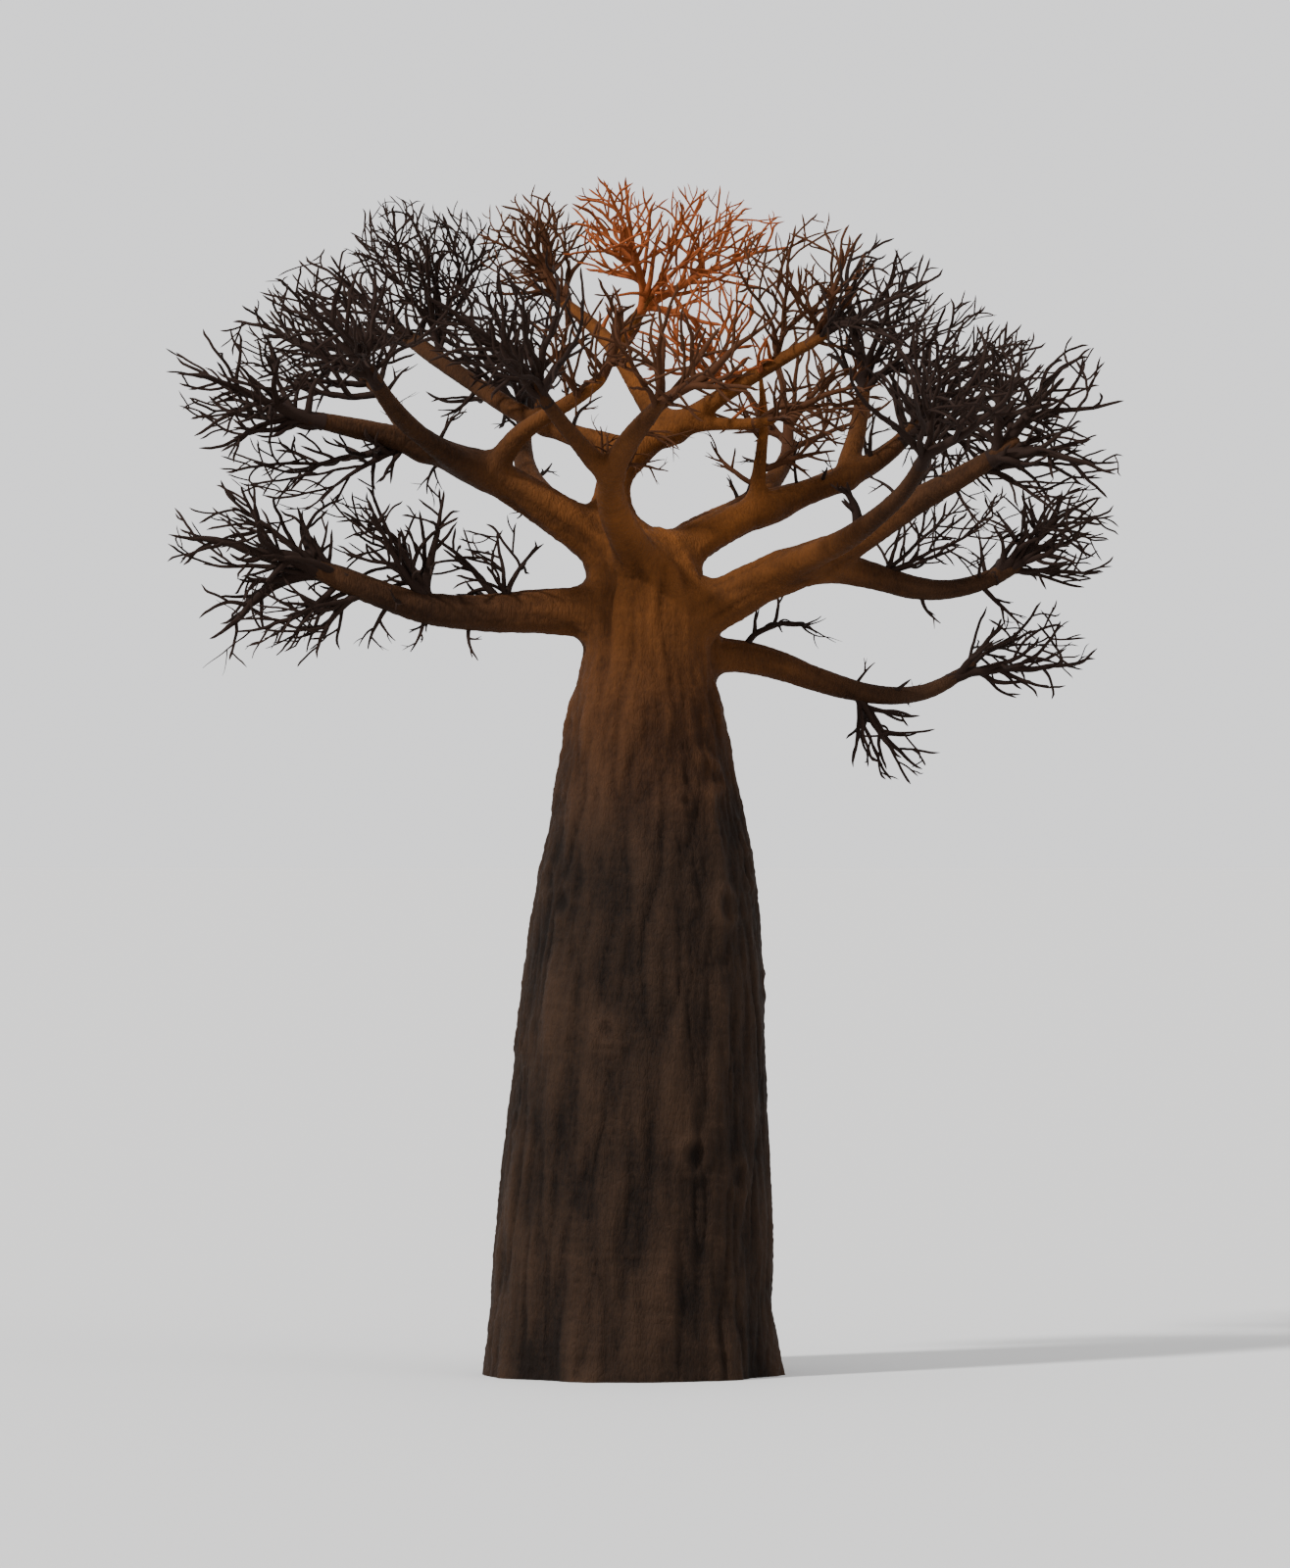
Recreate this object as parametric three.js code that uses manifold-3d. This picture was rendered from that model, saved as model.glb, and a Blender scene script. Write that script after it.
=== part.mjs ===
// A bare baobab tree: a tall bottle-shaped trunk on a flat cut at ground level, boughs that
// spread all round from the fork at its top, and the masses of twigs that the boughs carry.
// Millimetres, +Z up, +X to the tree's right-hand side, -Y to its front.
// The origin is the middle of the flat cut under the trunk.
import * as THREE from "three";
import { mergeVertices } from "three/addons/utils/BufferGeometryUtils.js";
import Module from "manifold-3d";

const METRE = 1000;
const GAP = 1; // clearance left where one solid is cut by another

// Trunk, in metres
const TRUNK_HEIGHT = 12.62;
const NECK_HEIGHT = 11.1; // the narrowest place, under the lowest boughs
const NECK_RADIUS = 0.96;
const BELLY_RADIUS = 2.13; // radius at the foot without the root flare
const BELLY_POWER = 2.35; // how late the belly draws in towards the neck
const ROOT_FLARE = 0.14;
const ROOT_FLARE_HEIGHT = 0.8;
const ROOT_LOBES = 7;
const ROOT_LOBE_DEPTH = 0.035;
const CROWN_RADIUS = 0.5; // the rounded top between the boughs
const LEAN = 0.26; // how far the neck stands to the right of the foot
const LEAN_HEIGHT = 8.4;
const TRUNK_SIDES = 20;
const TRUNK_STEPS = 15;

// Boughs
const BOUGH_SIDES = 7;
const BOUGH_STEP = 0.95; // metres between rings
const COLLAR = 0.22; // extra radius of a bough's foot, as a share
const COLLAR_LENGTH = 1.6; // in foot radii

// Each bough is one tapering limb: the points in metres that it runs through, from inside
// the trunk or bough that carries it, then its radius at the foot and at the tip.
const BOUGHS = {
  left_low_bough: {
    path: [
      [-0.1, 0, 11.54], [-1.5, -0.3, 11.72], [-2.5, -0.6, 11.57],
      [-3.4, -0.95, 11.75], [-4.9, -1.5, 12.36],
    ],
    foot: 0.39, tip: 0.18,
  },
  left_high_bough: {
    path: [[0.2, 0, 12.2], [-1.25, -0.15, 13.26], [-2.9, -0.8, 14.1], [-5.2, -1.8, 14.63]],
    foot: 0.43, tip: 0.12,
  },
  right_high_bough: {
    path: [[0.2, 0, 12.2], [0.85, 0.2, 12.7], [2.35, 0.8, 13.4], [3.85, 1.4, 13.96], [4.52, 1.7, 14.75]],
    foot: 0.36, tip: 0.11,
  },
  centre_bough: {
    path: [
      [0.15, 0, 12.2], [-0.48, 0.15, 13.2], [-0.58, 0.3, 13.62],
      [-0.2, 0.45, 13.98], [0.7, 0.65, 14.53],
    ],
    foot: 0.4, tip: 0.2,
  },
  right_middle_bough: {
    path: [
      [0.45, 0, 11.2], [1.37, -0.2, 11.78], [2.2, -0.6, 12.26], [3.0, -0.95, 12.46],
      [4.2, -1.6, 13.25], [5.4, -2.2, 13.88], [5.9, -2.4, 14.25],
    ],
    foot: 0.44, tip: 0.13,
  },
  right_low_bough: {
    path: [
      [0.5, 0, 11.02], [1.6, 0.3, 11.07], [3.1, 0.9, 10.55],
      [3.85, 1.2, 10.36], [4.6, 1.6, 10.4], [5.4, 1.8, 10.95],
    ],
    foot: 0.31, tip: 0.09,
  },
  front_bough: {
    path: [
      [0.15, -0.1, 12.1], [0.0, -0.95, 12.7], [-0.32, -2.0, 13.25],
      [-0.25, -3.1, 13.85], [0.5, -4.6, 14.75],
    ],
    foot: 0.36, tip: 0.12,
  },
  back_bough: {
    path: [[0.25, 0.1, 12.1], [0.8, 1.0, 12.75], [1.6, 2.2, 13.2], [2.2, 3.3, 13.7], [2.6, 4.4, 14.45]],
    foot: 0.36, tip: 0.12,
  },
  back_left_bough: {
    path: [
      [0.05, 0.1, 12.1], [-0.55, 0.85, 12.85], [-1.25, 1.9, 13.35],
      [-1.7, 3.1, 14.0], [-1.65, 4.3, 14.9],
    ],
    foot: 0.34, tip: 0.12,
  },
  left_arch_bough: {
    path: [[-3.1, -0.88, 14.16], [-3.62, -0.3, 14.75], [-3.88, 0.3, 15.15], [-4.45, 1.0, 15.5]],
    foot: 0.18, tip: 0.1,
  },
  left_front_bough: {
    path: [[-2.3, -0.56, 13.8], [-3.1, -1.6, 14.22], [-3.65, -2.6, 14.75], [-3.95, -3.5, 15.35]],
    foot: 0.22, tip: 0.1,
  },
  left_inner_bough: {
    path: [
      [-2.2, -0.5, 13.75], [-1.85, -0.8, 14.25], [-1.45, -1.1, 14.62],
      [-0.8, -1.5, 14.84], [-0.35, -1.9, 15.2],
    ],
    foot: 0.19, tip: 0.1,
  },
  left_crest_bough: {
    path: [
      [0.0, 0.45, 14.14], [-0.7, 0.9, 14.34], [-1.4, 1.35, 14.57],
      [-2.75, 2.3, 15.45], [-3.72, 3.2, 16.2],
    ],
    foot: 0.2, tip: 0.12,
  },
  left_inner_upright: {
    path: [[-1.35, 1.3, 14.5], [-1.32, 1.15, 15.0], [-1.55, 1.0, 15.4]],
    foot: 0.15, tip: 0.1,
  },
  centre_left_rise: {
    path: [
      [0.5, 0.6, 14.4], [0.1, 1.0, 15.15], [-0.28, 1.5, 15.85],
      [-0.75, 2.0, 16.3], [-1.35, 2.5, 16.72],
    ],
    foot: 0.17, tip: 0.09,
  },
  centre_crest_bough: {
    path: [[-0.25, 1.45, 15.8], [0.15, 1.25, 16.28], [0.42, 0.98, 16.78]],
    foot: 0.11, tip: 0.08,
  },
  centre_right_rise: {
    path: [[0.55, 0.65, 14.42], [1.37, 0.0, 14.95], [2.05, -0.8, 15.36], [3.1, -1.9, 15.9]],
    foot: 0.17, tip: 0.09,
  },
  centre_level_bough: {
    path: [[0.6, 0.55, 14.45], [1.15, 0.25, 14.6], [1.8, -0.2, 14.5], [2.35, -0.65, 14.62]],
    foot: 0.12, tip: 0.085,
  },
  right_snag: {
    path: [[1.85, 0.6, 13.22], [1.99, 0.4, 13.98], [2.07, 0.2, 14.58], [1.96, 0.0, 15.45]],
    foot: 0.15, tip: 0.03,
  },
  right_upright_bough: {
    path: [[3.3, 1.18, 13.75], [3.5, 1.7, 14.43], [3.6, 2.2, 15.03], [3.65, 2.6, 15.55]],
    foot: 0.17, tip: 0.1,
  },
  right_back_bough: {
    path: [[2.1, 0.7, 13.28], [3.1, 1.9, 13.72], [4.0, 3.1, 14.2], [4.65, 4.0, 14.85]],
    foot: 0.22, tip: 0.11,
  },
  right_sag_bough: {
    path: [
      [2.85, -0.88, 12.4], [3.6, -0.7, 12.24], [4.5, -0.4, 11.93],
      [5.3, -0.15, 12.05], [6.05, 0.1, 12.44],
    ],
    foot: 0.24, tip: 0.13,
  },
  right_front_bough: {
    path: [
      [2.1, -0.55, 12.25], [2.95, -1.7, 12.55], [3.65, -2.9, 12.98],
      [4.2, -3.8, 13.5], [4.5, -4.5, 14.15],
    ],
    foot: 0.24, tip: 0.11,
  },
  front_left_bough: {
    path: [[-0.28, -2.7, 13.6], [-0.75, -3.4, 14.1], [-1.15, -3.9, 14.55], [-1.5, -4.3, 15.1]],
    foot: 0.17, tip: 0.1,
  },
};

// Each mass of twigs is an uneven lump: its middle and its half sizes in metres.
const TWIGS = {
  left_low_tip_twigs: { middle: [-5.9, -1.65, 12.75], half: [1.0, 1.15, 0.76] },
  left_low_under_twigs: { middle: [-5.45, -1.4, 11.62], half: [1.05, 0.9, 0.78] },
  left_low_upright_twigs: { middle: [-3.75, -1.05, 12.9], half: [1.1, 0.85, 0.76] },
  left_low_inner_twigs: { middle: [-2.25, -0.55, 12.45], half: [0.85, 0.55, 0.52] },
  left_far_twigs: { middle: [-5.86, -2.05, 15.0], half: [1.0, 1.15, 0.9] },
  left_under_twigs: { middle: [-4.85, -1.35, 13.85], half: [1.2, 1.0, 0.58] },
  left_arch_twigs: { middle: [-4.85, 1.1, 15.85], half: [1.25, 1.25, 0.82] },
  left_crest_low_twigs: { middle: [-4.4, 3.45, 16.5], half: [1.15, 1.2, 0.82] },
  left_crest_top_twigs: { middle: [-3.2, 2.85, 17.15], half: [1.15, 1.2, 0.9] },
  left_front_twigs: { middle: [-4.1, -4.1, 16.0], half: [1.3, 1.2, 0.9] },
  left_inner_twigs: { middle: [-2.05, 0.85, 16.0], half: [0.9, 1.0, 0.8] },
  centre_left_high_twigs: { middle: [-1.55, 2.6, 17.35], half: [0.85, 1.05, 0.78] },
  centre_left_twigs: { middle: [-0.55, -2.3, 15.85], half: [0.85, 1.0, 0.82] },
  centre_crest_left_twigs: { middle: [-0.15, 0.95, 17.45], half: [0.8, 1.15, 0.87] },
  centre_crest_right_twigs: { middle: [1.25, 0.85, 17.3], half: [1.05, 1.15, 0.82] },
  centre_middle_twigs: { middle: [1.05, -0.8, 15.88], half: [1.05, 1.0, 0.88] },
  centre_right_high_twigs: { middle: [2.6, -1.3, 16.62], half: [1.0, 1.1, 0.88] },
  centre_right_tip_twigs: { middle: [3.8, -2.5, 16.2], half: [0.85, 1.0, 0.86] },
  centre_right_twigs: { middle: [2.95, -1.1, 14.85], half: [0.8, 0.85, 0.65] },
  right_upright_twigs: { middle: [3.75, 2.85, 16.45], half: [0.92, 1.1, 0.96] },
  right_crest_twigs: { middle: [4.95, 1.75, 15.6], half: [1.12, 1.15, 0.9] },
  right_far_high_twigs: { middle: [6.15, -1.95, 14.95], half: [1.1, 1.2, 0.82] },
  right_far_twigs: { middle: [6.45, -2.2, 13.75], half: [0.88, 1.0, 0.62] },
  right_inner_twigs: { middle: [5.2, 0.85, 14.25], half: [1.05, 1.05, 0.68] },
  right_sag_top_twigs: { middle: [5.05, -0.25, 12.85], half: [1.05, 0.8, 0.65] },
  right_sag_tip_twigs: { middle: [6.6, 0.3, 12.85], half: [0.74, 0.95, 0.78] },
  right_low_tip_twigs: { middle: [6.05, 1.9, 11.15], half: [1.05, 0.95, 0.72] },
  right_low_drop_twigs: { middle: [3.98, 1.25, 9.66], half: [0.68, 0.6, 0.56] },
  front_twigs: { middle: [0.75, -5.1, 15.5], half: [1.35, 1.15, 0.92] },
  front_left_twigs: { middle: [-1.75, -4.85, 15.85], half: [1.25, 1.1, 0.92] },
  right_front_twigs: { middle: [4.65, -5.0, 14.95], half: [1.3, 1.15, 0.92] },
  back_twigs: { middle: [2.6, 5.05, 15.35], half: [1.3, 1.15, 1.0] },
  right_back_twigs: { middle: [5.05, 4.5, 15.6], half: [1.25, 1.2, 0.92] },
  back_left_twigs: { middle: [-1.85, 4.95, 15.75], half: [1.35, 1.15, 0.98] },
};
const TWIG_DETAIL = 2; // subdivisions of the icosahedron under each mass
const SMALL_TWIG_DETAIL = 1;
const SMALL_TWIGS = 0.82; // a mass is small when its half sizes multiply to less than this
const UNEVEN = 0.09; // how far a mass swells and hollows, as a share of its half size

const BARK = new THREE.Color(0x3a2c22);
const TWIG_BROWN = new THREE.Color(0x33251c);

const wasm = await Module();
wasm.setup();

// A closed three.js geometry as a solid.
function solidOf(geometry) {
  geometry.deleteAttribute("normal");
  geometry.deleteAttribute("uv");
  const merged = mergeVertices(geometry, 1e-3);
  return new wasm.Manifold(
    new wasm.Mesh({
      numProp: 3,
      vertProperties: new Float32Array(merged.attributes.position.array),
      triVerts: new Uint32Array(merged.index.array),
    }),
  );
}

// A solid as a three.js geometry about the point that its mesh will stand at.
function geometryOf(solid, origin) {
  const { vertProperties, triVerts, numProp, numVert } = solid.getMesh();
  const positions = new Float32Array(numVert * 3);
  for (let i = 0; i < numVert; i++) {
    positions.set(vertProperties.subarray(i * numProp, i * numProp + 3), i * 3);
  }
  const geometry = new THREE.BufferGeometry();
  geometry.setAttribute("position", new THREE.BufferAttribute(positions, 3));
  geometry.setIndex(new THREE.BufferAttribute(new Uint32Array(triVerts), 1));
  geometry.translate(-origin.x, -origin.y, -origin.z);
  geometry.computeVertexNormals();
  return geometry;
}

// The trunk's radius in metres at a height in metres, before its root lobes.
function trunkRadius(z) {
  const flare = ROOT_FLARE * Math.exp(-z / ROOT_FLARE_HEIGHT);
  if (z < NECK_HEIGHT) {
    const drawnIn = Math.pow(z / NECK_HEIGHT, BELLY_POWER);
    return NECK_RADIUS + (BELLY_RADIUS - NECK_RADIUS) * (1 - drawnIn) + flare;
  }
  const t = (z - NECK_HEIGHT) / (TRUNK_HEIGHT - NECK_HEIGHT);
  return CROWN_RADIUS + (NECK_RADIUS - CROWN_RADIUS) * Math.sqrt(Math.max(0, 1 - t * t * t));
}

// A cylinder whose rings are drawn in and shifted to the trunk's taper, flare and lean.
function trunkGeometry(grow) {
  const geometry = new THREE.CylinderGeometry(1, 1, 1, TRUNK_SIDES, TRUNK_STEPS);
  geometry.rotateX(Math.PI / 2);
  const position = geometry.attributes.position;
  for (let i = 0; i < position.count; i++) {
    const z = (position.getZ(i) + 0.5) * TRUNK_HEIGHT;
    const angle = Math.atan2(position.getY(i), position.getX(i));
    const lobe = ROOT_LOBE_DEPTH * Math.cos(ROOT_LOBES * angle) * Math.exp(-z / (2 * ROOT_FLARE_HEIGHT));
    const radius = trunkRadius(z) * (1 + lobe) * METRE + grow;
    const lean = LEAN * THREE.MathUtils.smoothstep(z, 0, LEAN_HEIGHT) * METRE;
    position.setXYZ(i, position.getX(i) * radius + lean, position.getY(i) * radius, z * METRE);
  }
  return geometry;
}

// A cylinder bent along a curve through the bough's points, with its taper and its collar.
function boughGeometry({ path, foot, tip }, grow) {
  const curve = new THREE.CatmullRomCurve3(
    path.map(([x, y, z]) => new THREE.Vector3(x, y, z).multiplyScalar(METRE)),
    false,
    "centripetal",
  );
  const length = curve.getLength() / METRE;
  const steps = Math.max(3, Math.round(length / BOUGH_STEP));
  const frames = curve.computeFrenetFrames(steps);
  const geometry = new THREE.CylinderGeometry(1, 1, 1, BOUGH_SIDES, steps);
  const position = geometry.attributes.position;
  for (let i = 0; i < position.count; i++) {
    const t = position.getY(i) + 0.5;
    const ring = Math.round(t * steps);
    const collar = COLLAR * Math.exp((-t * length) / (COLLAR_LENGTH * foot));
    const radius = (foot * (1 + collar) + (tip - foot) * t) * METRE + grow;
    const place = curve
      .getPointAt(t)
      .addScaledVector(frames.binormals[ring], position.getX(i) * radius)
      .addScaledVector(frames.normals[ring], position.getZ(i) * radius)
      .addScaledVector(frames.tangents[ring], Math.round(2 * t - 1) * grow);
    position.setXYZ(i, place.x, place.y, place.z);
  }
  return geometry;
}

// An icosahedron stretched to the mass's half sizes, swollen and hollowed by two slow waves.
function twigGeometry({ middle, half }, seed, grow) {
  const small = half[0] * half[1] * half[2] < SMALL_TWIGS;
  const geometry = new THREE.IcosahedronGeometry(1, small ? SMALL_TWIG_DETAIL : TWIG_DETAIL);
  const position = geometry.attributes.position;
  for (let i = 0; i < position.count; i++) {
    const d = new THREE.Vector3().fromBufferAttribute(position, i).normalize();
    const wave = Math.sin(3.1 * d.x + 2.3 * d.z + seed) + Math.sin(4.3 * d.y - 2.9 * d.x + 1.7 * seed);
    const swell = 1 + (UNEVEN * wave) / 2;
    position.setXYZ(
      i,
      middle[0] * METRE + d.x * (half[0] * METRE * swell + grow),
      middle[1] * METRE + d.y * (half[1] * METRE * swell + grow),
      middle[2] * METRE + d.z * (half[2] * METRE * swell + grow),
    );
  }
  return geometry;
}

// The largest piece of a solid, once everything already standing has been cut from it.
function fitted(solid, standing) {
  let left = solid;
  for (const other of standing) left = left.subtract(other);
  return left.decompose().reduce((a, b) => (a.volume() > b.volume() ? a : b));
}

const tree = new THREE.Group();
const boughs = new THREE.Group();
const twigs = new THREE.Group();
tree.add(boughs, twigs);

const bark = new THREE.MeshStandardMaterial({ color: BARK, roughness: 0.9, metalness: 0 });
const twigBark = new THREE.MeshStandardMaterial({ color: TWIG_BROWN, roughness: 0.85, metalness: 0 });

function addNode(group, name, solid, material, origin) {
  const mesh = new THREE.Mesh(geometryOf(solid, origin), material);
  mesh.name = name;
  mesh.position.copy(origin);
  group.add(mesh);
}

const standing = [solidOf(trunkGeometry(GAP))];
addNode(tree, "trunk", solidOf(trunkGeometry(0)), bark, new THREE.Vector3());

for (const [name, bough] of Object.entries(BOUGHS)) {
  const origin = new THREE.Vector3(...bough.path[0]).multiplyScalar(METRE);
  addNode(boughs, name, fitted(solidOf(boughGeometry(bough, 0)), standing), bark, origin);
  standing.push(solidOf(boughGeometry(bough, GAP)));
}

Object.entries(TWIGS).forEach(([name, mass], index) => {
  const origin = new THREE.Vector3(...mass.middle).multiplyScalar(METRE);
  addNode(twigs, name, fitted(solidOf(twigGeometry(mass, index, 0)), standing), twigBark, origin);
  standing.push(solidOf(twigGeometry(mass, index, GAP)));
});

export default tree;
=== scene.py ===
"""A bare baobab tree: one skin of folded bark over its trunk and boughs, and open sprays of
curved twigs at the ends of the boughs. Metres, +Z up, +X to the tree's right, -Y to its front."""

import math
from functools import cache

import bmesh
import bpy
import numpy as np
from bpy.props import FloatProperty, FloatVectorProperty, IntProperty, PointerProperty
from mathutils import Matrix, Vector
from mathutils.bvhtree import BVHTree


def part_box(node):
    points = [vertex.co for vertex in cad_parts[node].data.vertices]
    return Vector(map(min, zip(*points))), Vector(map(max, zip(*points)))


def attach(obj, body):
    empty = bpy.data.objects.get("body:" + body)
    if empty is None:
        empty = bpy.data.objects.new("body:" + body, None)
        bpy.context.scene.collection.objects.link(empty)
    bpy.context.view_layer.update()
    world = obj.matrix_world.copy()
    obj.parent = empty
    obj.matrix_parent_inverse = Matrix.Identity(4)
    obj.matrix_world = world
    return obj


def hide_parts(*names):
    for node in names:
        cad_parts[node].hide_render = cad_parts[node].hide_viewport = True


bl_info = {
    "name": "Baobab Tree",
    "version": (1, 0, 0),
    "blender": (4, 5, 0),
    "location": "3D View > Sidebar > Baobab",
    "description": "Makes a bare baobab tree: bark skin, twig sprays, and a stage to show it on",
    "category": "Object",
}

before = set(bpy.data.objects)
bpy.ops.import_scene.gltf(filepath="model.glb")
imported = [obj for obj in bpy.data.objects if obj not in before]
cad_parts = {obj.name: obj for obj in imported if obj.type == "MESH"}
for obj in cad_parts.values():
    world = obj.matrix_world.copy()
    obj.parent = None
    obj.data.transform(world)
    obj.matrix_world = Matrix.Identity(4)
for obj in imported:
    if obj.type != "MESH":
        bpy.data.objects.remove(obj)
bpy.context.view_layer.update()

TRUNK = "trunk"
SNAG = "right_snag"
MASSES = sorted(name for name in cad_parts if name.endswith("_twigs"))
BOUGHS = sorted(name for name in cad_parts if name.endswith(("bough", "rise", "upright")))
UP = np.array([0.0, 0.0, 1.0])
SKIN_CUT = 9.4  # height of the flat cut between the trunk's piece of skin and the boughs'
REACH = 0.45  # how far from a limb its distance is worked out
TUBE_STEP = 0.05  # distance between the rings of a twig's tube
SPINE_LENGTH = 4.0  # the most that a spray's spine grows
MATT = 0.08  # specular level of bark and twigs
CAMERA_AIM = (0.2175, 9.03)  # how far across and up the camera looks straight at

# Lamps: name, strength, and spread and turn in degrees
LAMPS = (("key", 6.5, 5.0, (52, 0, -50)), ("fill", 1.0, 40.0, (60, 0, 55)))

# Masses whose spray is denser than the rest
FULLER = ("left_crest_top_twigs", "centre_left_high_twigs")

# Small twigs that stand on boughs: bough, share along it, heading, bend, length and radius
SMALL_TWIGS = (
    ("left_low_bough", 0.46, (-0.1, -0.2, -1.0), (0.1, 0.0, 0.05), 0.5, 0.036),
    ("left_low_bough", 0.6, (0.1, -0.1, -1.0), (-0.05, 0.0, 0.0), 0.45, 0.034),
    ("left_low_bough", 0.74, (-0.2, 0.1, -1.0), (-0.05, 0.05, 0.0), 0.65, 0.04),
    ("left_low_bough", 0.86, (-0.8, -0.3, -0.5), (-0.02, 0.0, 0.02), 0.9, 0.045),
    ("left_low_bough", 0.9, (-0.7, -0.3, -0.75), (-0.03, 0.0, 0.0), 1.7, 0.055),
    ("left_arch_bough", 0.6, (-1.0, -0.1, -0.25), (0.0, 0.0, 0.02), 1.7, 0.1),
    ("left_arch_bough", 0.75, (-1.0, -0.6, -0.3), (0.0, 0.0, -0.01), 1.3, 0.07),
    ("left_crest_bough", 0.62, (0.1, -0.3, -1.0), (-0.12, 0.0, 0.02), 0.6, 0.04),
    ("left_high_bough", 0.6, (0.5, -0.3, 0.9), (0.06, 0.0, -0.04), 0.6, 0.036),
    ("right_low_bough", 0.17, (0.4, -0.2, 0.9), (0.03, 0.0, -0.12), 1.2, 0.055),
    ("right_middle_bough", 0.5, (0.1, -0.1, 1.0), (-0.07, 0.0, 0.0), 0.6, 0.09),
    ("right_middle_bough", 0.68, (0.3, 0.4, 0.9), (0.05, 0.05, 0.0), 0.7, 0.04),
    ("right_sag_bough", 0.5, (-0.1, -0.2, -1.0), (0.08, 0.0, 0.05), 0.45, 0.034),
    ("right_sag_bough", 0.8, (0.6, -0.2, -0.8), (0.03, 0.0, 0.02), 0.8, 0.042),
    ("right_high_bough", 0.78, (-0.2, -0.3, 1.0), (0.05, 0.0, 0.0), 0.7, 0.04),
    ("right_snag", 0.3, (1.0, -0.3, 0.5), (0.03, 0.0, 0.01), 1.1, 0.055),
    ("right_snag", 0.22, (-1.0, 0.0, 0.6), (0.0, 0.0, 0.05), 0.9, 0.045),
    ("right_snag", 0.55, (-0.5, -0.4, 0.8), (0.0, 0.0, 0.06), 0.6, 0.035),
    ("front_bough", 0.55, (-0.3, -0.3, 0.9), (0.0, -0.05, 0.0), 0.6, 0.036),
    ("back_bough", 0.55, (0.3, 0.3, 0.9), (0.0, 0.05, 0.0), 0.6, 0.036),
    ("back_left_bough", 0.6, (-0.3, 0.2, -0.9), (0.0, 0.05, 0.05), 0.5, 0.034),
)


# Settings

COLOUR = {"subtype": "COLOR", "size": 3, "min": 0, "max": 1}


class BarkSettings(bpy.types.PropertyGroup):
    """Sizes and colours of the skin over the trunk and boughs."""

    grid: FloatProperty(
        name="Grid", description="Side of the cells that the skin is made from",
        default=0.045, min=0.03, unit="LENGTH",
    )
    merging: FloatProperty(
        name="Merging", description="How far a limb flows into the one that carries it, in its own radii",
        default=0.9, min=0.1, subtype="FACTOR",
    )
    fold_depth: FloatProperty(
        name="Fold depth", description="Height of the long folds up the trunk and along the boughs",
        default=0.085, unit="LENGTH",
    )
    fold_width: FloatProperty(
        name="Fold width", description="Width of one long fold", default=0.42, unit="LENGTH"
    )
    wrinkle_depth: FloatProperty(
        name="Wrinkle depth", description="Height of the wrinkles round the trunk and the boughs",
        default=0.016, unit="LENGTH",
    )
    wrinkle_width: FloatProperty(
        name="Wrinkle width", description="Width of one wrinkle", default=0.11, unit="LENGTH"
    )
    seed: IntProperty(name="Seed", description="Changes where folds and wrinkles fall", default=5)
    ridge_colour: FloatVectorProperty(
        name="Ridge colour", description="Colour of the bark on the crests of its folds",
        default=(0.03, 0.0155, 0.0085), **COLOUR,
    )
    # Painted shade: the groove colour is far darker than the ridge colour and stands in for the shade
    # deep in the folds.
    groove_shade_colour: FloatVectorProperty(
        name="Groove shade colour", description="Colour of the bark deep in its folds",
        default=(0.0045, 0.0024, 0.0014), **COLOUR,
    )
    # Painted light: the glow colour is the orange that a low sun behind the crown casts on the crests at
    # the fork and in the middle of the crown.
    glow_colour: FloatVectorProperty(
        name="Glow colour", description="Colour of the crests at the fork and in the middle of the crown",
        default=(0.155, 0.05, 0.009), **COLOUR,
    )


class TwigSettings(bpy.types.PropertyGroup):
    """Sizes and colours of the twigs."""

    step: FloatProperty(
        name="Step", description="How far a twig grows at a time", default=0.08, unit="LENGTH"
    )
    tip_radius: FloatProperty(
        name="Tip radius", description="Radius of the last twigs before they taper to a point",
        default=0.021, unit="LENGTH",
    )
    swell: FloatProperty(
        name="Swell", description="Size of the space a spray fills, against its mass",
        default=1.17, subtype="FACTOR",
    )
    spines: FloatProperty(
        name="Spines", description="Sweeping spines for each cubic metre of a mass", default=1.1
    )
    jitter: FloatProperty(
        name="Jitter", description="How much a twig wanders from step to step",
        default=0.09, subtype="FACTOR",
    )
    bow: FloatProperty(
        name="Bow", description="How much a twig bends one way along its length",
        default=0.085, subtype="FACTOR",
    )
    bud_gaps: FloatVectorProperty(
        name="Bud gaps", description="Distance between side twigs on spines, side twigs and small twigs",
        default=(0.33, 0.29, 0.26), unit="LENGTH",
    )
    lengths: FloatVectorProperty(
        name="Lengths", description="Length of side twigs, of small twigs and of spurs",
        default=(1.0, 0.56, 0.3), unit="LENGTH",
    )
    starts: FloatVectorProperty(
        name="Starts", description="Greatest radius that side twigs, small twigs and spurs start with",
        default=(0.072, 0.042, 0.028), unit="LENGTH",
    )
    rooms: FloatVectorProperty(
        name="Rooms", description="Room that a side twig, a small twig or a spur needs at its end",
        default=(0.3, 0.2, 0.12), unit="LENGTH",
    )
    sweeps: FloatVectorProperty(
        name="Sweeps", description="How strongly side twigs, small twigs and spurs sweep outwards",
        default=(0.045, 0.05, 0.04), subtype="NONE",
    )
    seed: IntProperty(name="Seed", description="Changes how every twig grows", default=11)
    dark_colour: FloatVectorProperty(
        name="Dark colour", description="Colour of the outer twigs",
        default=(0.013, 0.0066, 0.0045), **COLOUR,
    )
    # Partly painted light: the brown and rust colours are the red-brown of young shoots brightened by a
    # painted glow of a low sun behind the crown.
    brown_glow_colour: FloatVectorProperty(
        name="Brown glow colour", description="Colour of the twigs between the outer and the middle ones",
        default=(0.04, 0.0145, 0.0055), **COLOUR,
    )
    rust_glow_colour: FloatVectorProperty(
        name="Rust glow colour", description="Colour of the twigs in the middle of the crown",
        default=(0.155, 0.038, 0.01), **COLOUR,
    )


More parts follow.
